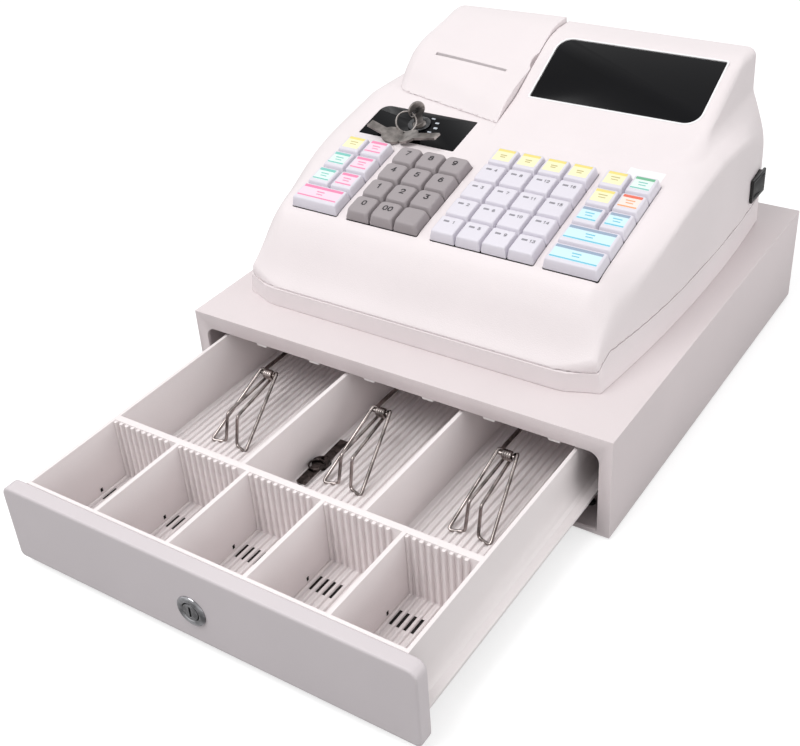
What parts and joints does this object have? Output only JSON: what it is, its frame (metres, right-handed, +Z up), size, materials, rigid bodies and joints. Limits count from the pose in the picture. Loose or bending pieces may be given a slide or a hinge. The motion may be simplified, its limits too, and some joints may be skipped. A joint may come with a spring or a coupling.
{
  "type": "ticket register",
  "caption": "electronic ticket register on a cash drawer that stands open, with key blocks, mode lock, display window, printer cover, bill clips and coin cups",
  "frame": {"origin": "under the middle of the object with its drawer open, on the surface it stands on", "axes": "+X to the right seen from the front, +Y from the drawer front to the rear, +Z up"},
  "size_m": [0.34, 0.5584, 0.2195],
  "materials": {
    "steel_white": "satin",
    "abs_white": "satin",
    "abs_grey": "satin",
    "tab_white": "satin",
    "dark_plastic": "satin",
    "gloss_black": "gloss",
    "rubber_black": "matte",
    "zinc_steel": "satin",
    "chrome_wire": "gloss",
    "key_steel": "satin",
    "nylon_white": "satin",
    "board_green": "satin",
    "paper_white": "matte",
    "key_grey": "satin",
    "key_cap": "satin"
  },
  "bodies": {
    "register": {"cabinet_shell": "steel_white", "cabinet_base": "zinc_steel", "rubber_feet": "rubber_black", "lip_tabs": "tab_white", "drawer_rails": "zinc_steel", "latch_solenoid": "zinc_steel", "ejector_spring": "zinc_steel", "lower_housing": "abs_white", "upper_housing": "abs_white", "display_window": "gloss_black", "printer_frame": "dark_plastic", "lock_panel": "gloss_black", "mode_lock": "chrome_wire", "power_switch_frame": "dark_plastic", "main_board": "board_green", "key_frame": "dark_plastic", "key_board": "board_green"},
    "drawer": {"drawer_tray": "abs_grey", "drawer_front": "abs_grey", "drawer_lock_rim": "chrome_wire", "clip_arms": "chrome_wire", "drawer_keys": "key_steel"},
    "drawer_rollers": {"drawer_rollers": "nylon_white"},
    "drawer_lock_plug": {"drawer_lock_plug": "chrome_wire"},
    "bill_clip_1": {"bill_clip_1": "chrome_wire"},
    "bill_clip_2": {"bill_clip_2": "chrome_wire"},
    "bill_clip_3": {"bill_clip_3": "chrome_wire"},
    "printer_cover": {"printer_cover": "abs_white"},
    "mode_key": {"mode_key": "key_steel", "spare_keys": "key_steel"},
    "power_rocker": {"power_rocker": "dark_plastic"},
    "latch_hook": {"latch_hook": "zinc_steel"},
    "platen_roller": {"platen_roller": "rubber_black"},
    "paper_roll": {"paper_roll": "paper_white"},
    "key_0": {"key_0": "key_grey"},
    "key_00": {"key_00": "key_grey"},
    "key_point": {"key_point": "key_grey"},
    "key_1": {"key_1": "key_grey"},
    "key_2": {"key_2": "key_grey"},
    "key_3": {"key_3": "key_grey"},
    "key_4": {"key_4": "key_grey"},
    "key_5": {"key_5": "key_grey"},
    "key_6": {"key_6": "key_grey"},
    "key_7": {"key_7": "key_grey"},
    "key_8": {"key_8": "key_grey"},
    "key_9": {"key_9": "key_grey"},
    "left_keys_1": {"left_keys_1": "key_cap"},
    "left_keys_2": {"left_keys_2": "key_cap"},
    "left_keys_3": {"left_keys_3": "key_cap"},
    "left_keys_4": {"left_keys_4": "key_cap"},
    "dept_keys_1": {"dept_keys_1": "key_cap"},
    "dept_keys_2": {"dept_keys_2": "key_cap"},
    "dept_keys_3": {"dept_keys_3": "key_cap"},
    "dept_keys_4": {"dept_keys_4": "key_cap"},
    "dept_keys_5": {"dept_keys_5": "key_cap"},
    "right_keys_1": {"right_keys_1": "key_cap"},
    "right_keys_2": {"right_keys_2": "key_cap"},
    "right_keys_3": {"right_keys_3": "key_cap"},
    "right_keys_4": {"right_keys_4": "key_cap"},
    "right_keys_5": {"right_keys_5": "key_cap"}
  },
  "joints": [
    {"name": "drawer_slide", "type": "slide", "parent": "register", "child": "drawer", "axis": [0, -1, 0], "range_m": [-0.2065, 0]},
    {"name": "printer_cover_hinge", "type": "hinge", "parent": "register", "child": "printer_cover", "pos_m": [-0.077, 0.25425, 0.1845], "axis": [-1, 0, 0], "range_deg": [0, 80]},
    {"name": "bill_clip_1_hinge", "type": "hinge", "parent": "drawer", "child": "bill_clip_1", "pos_m": [-0.098, -0.07875, 0.05], "axis": [-1, 0, 0], "range_deg": [0, 75], "stiffness_Nm_per_rad": 0.02, "springref_deg": -20.05},
    {"name": "bill_clip_2_hinge", "type": "hinge", "parent": "drawer", "child": "bill_clip_2", "pos_m": [0.001, -0.07875, 0.05], "axis": [-1, 0, 0], "range_deg": [0, 75], "stiffness_Nm_per_rad": 0.02, "springref_deg": -20.05},
    {"name": "bill_clip_3_hinge", "type": "hinge", "parent": "drawer", "child": "bill_clip_3", "pos_m": [0.1, -0.07875, 0.05], "axis": [-1, 0, 0], "range_deg": [0, 75], "stiffness_Nm_per_rad": 0.02, "springref_deg": -20.05},
    {"name": "mode_key_turn", "type": "hinge", "parent": "register", "child": "mode_key", "pos_m": [-0.082, 0.11324, 0.17224], "axis": [0, -0.2288, 0.9735], "range_deg": [-60, 60]},
    {"name": "drawer_lock_turn", "type": "hinge", "parent": "drawer", "child": "drawer_lock_plug", "pos_m": [-0.0025, -0.27725, 0.0315], "axis": [0, 1, 0], "range_deg": [0, 90]},
    {"name": "power_rocker_tilt", "type": "hinge", "parent": "register", "child": "power_rocker", "pos_m": [0.14572, 0.22925, 0.1195], "axis": [0, 0, 1], "range_deg": [0, 18]},
    {"name": "latch_hook_hinge", "type": "hinge", "parent": "register", "child": "latch_hook", "pos_m": [0.04, 0.24775, 0.05], "axis": [1, 0, 0], "range_deg": [0, 12]},
    {"name": "platen_spin", "type": "hinge", "parent": "register", "child": "platen_roller", "pos_m": [-0.0759, 0.17625, 0.1842], "axis": [1, 0, 0], "continuous": true},
    {"name": "paper_roll_spin", "type": "hinge", "parent": "register", "child": "paper_roll", "pos_m": [-0.0759, 0.21775, 0.1592], "axis": [1, 0, 0], "continuous": true},
    {"name": "drawer_roller_spin", "type": "hinge", "parent": "drawer", "child": "drawer_rollers", "pos_m": [0, -0.00875, 0.0295], "axis": [1, 0, 0], "continuous": true},
    {"name": "key_0_press", "type": "slide", "parent": "register", "child": "key_0", "axis": [0, 0.2288, -0.9735], "range_m": [0, 0.003], "stiffness_N_per_m": 250, "springref_m": -0.0012},
    {"name": "key_00_press", "type": "slide", "parent": "register", "child": "key_00", "axis": [0, 0.2288, -0.9735], "range_m": [0, 0.003], "stiffness_N_per_m": 250, "springref_m": -0.0012},
    {"name": "key_point_press", "type": "slide", "parent": "register", "child": "key_point", "axis": [0, 0.2288, -0.9735], "range_m": [0, 0.003], "stiffness_N_per_m": 250, "springref_m": -0.0012},
    {"name": "key_1_press", "type": "slide", "parent": "register", "child": "key_1", "axis": [0, 0.2288, -0.9735], "range_m": [0, 0.003], "stiffness_N_per_m": 250, "springref_m": -0.0012},
    {"name": "key_2_press", "type": "slide", "parent": "register", "child": "key_2", "axis": [0, 0.2288, -0.9735], "range_m": [0, 0.003], "stiffness_N_per_m": 250, "springref_m": -0.0012},
    {"name": "key_3_press", "type": "slide", "parent": "register", "child": "key_3", "axis": [0, 0.2288, -0.9735], "range_m": [0, 0.003], "stiffness_N_per_m": 250, "springref_m": -0.0012},
    {"name": "key_4_press", "type": "slide", "parent": "register", "child": "key_4", "axis": [0, 0.2288, -0.9735], "range_m": [0, 0.003], "stiffness_N_per_m": 250, "springref_m": -0.0012},
    {"name": "key_5_press", "type": "slide", "parent": "register", "child": "key_5", "axis": [0, 0.2288, -0.9735], "range_m": [0, 0.003], "stiffness_N_per_m": 250, "springref_m": -0.0012},
    {"name": "key_6_press", "type": "slide", "parent": "register", "child": "key_6", "axis": [0, 0.2288, -0.9735], "range_m": [0, 0.003], "stiffness_N_per_m": 250, "springref_m": -0.0012},
    {"name": "key_7_press", "type": "slide", "parent": "register", "child": "key_7", "axis": [0, 0.2288, -0.9735], "range_m": [0, 0.003], "stiffness_N_per_m": 250, "springref_m": -0.0012},
    {"name": "key_8_press", "type": "slide", "parent": "register", "child": "key_8", "axis": [0, 0.2288, -0.9735], "range_m": [0, 0.003], "stiffness_N_per_m": 250, "springref_m": -0.0012},
    {"name": "key_9_press", "type": "slide", "parent": "register", "child": "key_9", "axis": [0, 0.2288, -0.9735], "range_m": [0, 0.003], "stiffness_N_per_m": 250, "springref_m": -0.0012},
    {"name": "left_keys_1_press", "type": "slide", "parent": "register", "child": "left_keys_1", "axis": [0, 0.2288, -0.9735], "range_m": [0, 0.003], "stiffness_N_per_m": 250, "springref_m": -0.0012},
    {"name": "left_keys_2_press", "type": "slide", "parent": "register", "child": "left_keys_2", "axis": [0, 0.2288, -0.9735], "range_m": [0, 0.003], "stiffness_N_per_m": 250, "springref_m": -0.0012},
    {"name": "left_keys_3_press", "type": "slide", "parent": "register", "child": "left_keys_3", "axis": [0, 0.2288, -0.9735], "range_m": [0, 0.003], "stiffness_N_per_m": 250, "springref_m": -0.0012},
    {"name": "left_keys_4_press", "type": "slide", "parent": "register", "child": "left_keys_4", "axis": [0, 0.2288, -0.9735], "range_m": [0, 0.003], "stiffness_N_per_m": 250, "springref_m": -0.0012},
    {"name": "dept_keys_1_press", "type": "slide", "parent": "register", "child": "dept_keys_1", "axis": [0, 0.2288, -0.9735], "range_m": [0, 0.003], "stiffness_N_per_m": 250, "springref_m": -0.0012},
    {"name": "dept_keys_2_press", "type": "slide", "parent": "register", "child": "dept_keys_2", "axis": [0, 0.2288, -0.9735], "range_m": [0, 0.003], "stiffness_N_per_m": 250, "springref_m": -0.0012},
    {"name": "dept_keys_3_press", "type": "slide", "parent": "register", "child": "dept_keys_3", "axis": [0, 0.2288, -0.9735], "range_m": [0, 0.003], "stiffness_N_per_m": 250, "springref_m": -0.0012},
    {"name": "dept_keys_4_press", "type": "slide", "parent": "register", "child": "dept_keys_4", "axis": [0, 0.2288, -0.9735], "range_m": [0, 0.003], "stiffness_N_per_m": 250, "springref_m": -0.0012},
    {"name": "dept_keys_5_press", "type": "slide", "parent": "register", "child": "dept_keys_5", "axis": [0, 0.2288, -0.9735], "range_m": [0, 0.003], "stiffness_N_per_m": 250, "springref_m": -0.0012},
    {"name": "right_keys_1_press", "type": "slide", "parent": "register", "child": "right_keys_1", "axis": [0, 0.2288, -0.9735], "range_m": [0, 0.003], "stiffness_N_per_m": 250, "springref_m": -0.0012},
    {"name": "right_keys_2_press", "type": "slide", "parent": "register", "child": "right_keys_2", "axis": [0, 0.2288, -0.9735], "range_m": [0, 0.003], "stiffness_N_per_m": 250, "springref_m": -0.0012},
    {"name": "right_keys_3_press", "type": "slide", "parent": "register", "child": "right_keys_3", "axis": [0, 0.2288, -0.9735], "range_m": [0, 0.003], "stiffness_N_per_m": 250, "springref_m": -0.0012},
    {"name": "right_keys_4_press", "type": "slide", "parent": "register", "child": "right_keys_4", "axis": [0, 0.2288, -0.9735], "range_m": [0, 0.003], "stiffness_N_per_m": 250, "springref_m": -0.0012},
    {"name": "right_keys_5_press", "type": "slide", "parent": "register", "child": "right_keys_5", "axis": [0, 0.2288, -0.9735], "range_m": [0, 0.003], "stiffness_N_per_m": 250, "springref_m": -0.0012}
  ],
  "couplings": [
    {"joint": "drawer_roller_spin", "follows": "drawer_slide", "rad_per_m": 200}
  ]
}
